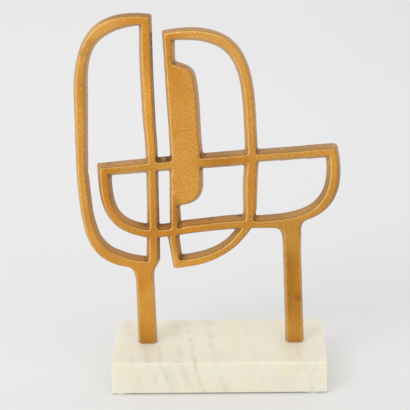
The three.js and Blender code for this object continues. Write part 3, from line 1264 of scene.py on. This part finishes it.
# %% Grow the marble block
MARBLE_BLOCK = {
    "Low corner": PLINTH_LOW,
    "High corner": PLINTH_HIGH,
    "Points across": 241,
    "Points deep": 81,
    "Points high": 41,
    "Arris radius": 1.5 * MM,
    "Chip depth": 2.0 * MM,
    "Chip length": 7 * MM,
    "Seed": 2.0,
    "Finish": marble,
}
CHIP_EDGE = (0.55, 0.85)
LOWER_HALF = (-1, 0)
RADIUS_LOW_DOWN = 0.3


def crowded_box(tree, half):
    """A box about the origin whose points crowd towards its edges."""
    geometry = tree.node("GeometryNodeMeshCube", {}, {
        "Size": half * 2,
        "Vertices X": given(tree, "Points across"),
        "Vertices Y": given(tree, "Points deep"),
        "Vertices Z": given(tree, "Points high"),
    })
    angle = tree.node("GeometryNodeInputPosition") / half * (math.pi / 2)
    return put(tree, geometry, angle.combine("SINE", angle) * half)


def marble_block():
    tree = start_shape("marble block", MARBLE_BLOCK)
    first = given(tree, "Low corner")
    last = given(tree, "High corner")
    half = (last - first) * 0.5
    geometry = crowded_box(tree, half)
    position = tree.node("GeometryNodeInputPosition")
    chips = tree.noise(position, given(tree, "Chip length"), seed=given(tree, "Seed"))
    radius = given(tree, "Arris radius") + tree.ease(chips, *CHIP_EDGE) * given(tree, "Chip depth")
    upper = tree.ease(tree.axes(position / half)[2], *LOWER_HALF)
    radius = radius * (RADIUS_LOW_DOWN + (1 - RADIUS_LOW_DOWN) * upper)
    core = half - radius
    inner = position.combine("MAXIMUM", position.combine("MINIMUM", position, core), core * -1)
    out = tree.node("ShaderNodeVectorMath", {"operation": "NORMALIZE"}, {0: position - inner})
    geometry = put(tree, geometry, inner + out * radius + (first + last) * 0.5)
    return close_shape(tree, geometry)


def make_plinth():
    piece = new_piece("marble_block")
    hang_tree(piece, marble_block(), MARBLE_BLOCK)
    return freeze(piece)


plinth = make_plinth()
print("marble triangles:", count_triangles(plinth))

# %% [markdown]
# ## The bumper pads
# Four clear rubber pads keep the stone off the shelf. Each is a squat dome that is flat above and below. All
# four are alike and sit at the corners of a rectangle, which is what Geometry Nodes are good at: a grid of
# two by two points, and one pad on each. The pad is a ball whose poles are cut flat by clamping its height.
# The rubber lets a little light through, which is a plain value on the shader itself, and dust dulls it.

# %% Clear rubber
RUBBER_CLEAR = sunlit(255, 252, 242)
RUBBER_DUSTY = sunlit(248, 240, 216)
DUST_NOISE = {"size": 1.5 * MM, "detail": 3, "seed": 50}
DUST_EDGE = (0.45, 0.75)
DUST_SHARE = 0.6
RUBBER_SMOOTH = 0.3
RUBBER_DULLED = 0.3
LIGHT_IN_RUBBER = {"IOR": 1.48, "Transmission Weight": 0.05}


def clear_rubber():
    material, tree = start_finish("clear_rubber")
    dust = tree.noise(tree.node("ShaderNodeTexCoord", output="Object"), **DUST_NOISE)
    colour = tree.mix(tree.ease(dust, *DUST_EDGE) * DUST_SHARE, RUBBER_CLEAR, RUBBER_DUSTY)
    rough = RUBBER_SMOOTH + RUBBER_DULLED * dust
    close_finish(tree, {"Base Color": colour, "Roughness": rough, **LIGHT_IN_RUBBER})
    return material


rubber = clear_rubber()
print("nodes in the rubber:", len(rubber.node_tree.nodes))

# %% Grow the pads
PAD_NODES = sorted(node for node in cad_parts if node.startswith("foot_pad"))
PAD_BOXES = [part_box(node) for node in PAD_NODES]
PAD_MIDDLES = [(low + high) / 2 for low, high in PAD_BOXES]
PAD_SIZE = PAD_BOXES[0][1] - PAD_BOXES[0][0]
PAD_SQUASH = 1.16
BALL = {"Segments": 48, "Rings": 24, "Radius": 1.0}
PADS = {
    "Middle": sum(PAD_MIDDLES, Vector()) / len(PAD_MIDDLES),
    "Spread across": max(m.x for m in PAD_MIDDLES) - min(m.x for m in PAD_MIDDLES),
    "Spread deep": max(m.y for m in PAD_MIDDLES) - min(m.y for m in PAD_MIDDLES),
    "Radius": PAD_SIZE.x / 2 * PAD_SQUASH,
    "Height": PAD_SIZE.z,
    "Bulge": 1.6,
    "Finish": rubber,
}


def squat_dome(tree):
    """One pad about the origin."""
    ball = tree.node("GeometryNodeMeshUVSphere", {}, BALL)
    x, y, z = tree.axes(tree.node("GeometryNodeInputPosition"))
    half = given(tree, "Height") * 0.5
    tall = z * half * given(tree, "Bulge")
    flat = tall.combine("MAXIMUM", tall.combine("MINIMUM", tall, half), half * -1)
    radius = given(tree, "Radius")
    return put(tree, ball, tree.node("ShaderNodeCombineXYZ", {}, {0: x * radius, 1: y * radius, 2: flat}))


def bumper_pads():
    tree = start_shape("bumper pads", PADS)
    corners = tree.node("GeometryNodeMeshGrid", {}, {
        "Size X": given(tree, "Spread across"),
        "Size Y": given(tree, "Spread deep"),
        "Vertices X": 2,
        "Vertices Y": 2,
    })
    corners = move(tree, corners, given(tree, "Middle"))
    placed = {"Points": corners, "Instance": squat_dome(tree)}
    return close_shape(tree, tree.node("GeometryNodeInstanceOnPoints", {}, placed))


def make_pads():
    piece = new_piece("bumper_pads")
    hang_tree(piece, bumper_pads(), PADS)
    return freeze(piece)


pads = make_pads()
print("pads:", len(PAD_NODES), "with", count_triangles(pads), "triangles")

# %% [markdown]
# ## Hand over to the frame
# Nothing moves on this work, so all three pieces ride on its one body. Each entry lists the solids it stands
# for, which are hidden, and the name of a material slot.

# %% Ride on the frame
DRESSED = [
    (casting, ["bronze_casting"], "golden_bronze"),
    (plinth, ["marble_plinth"], "cream_marble"),
    (pads, PAD_NODES, "clear_rubber"),
]
for piece, nodes, slot in DRESSED:
    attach(piece, "root")
    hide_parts(*nodes)
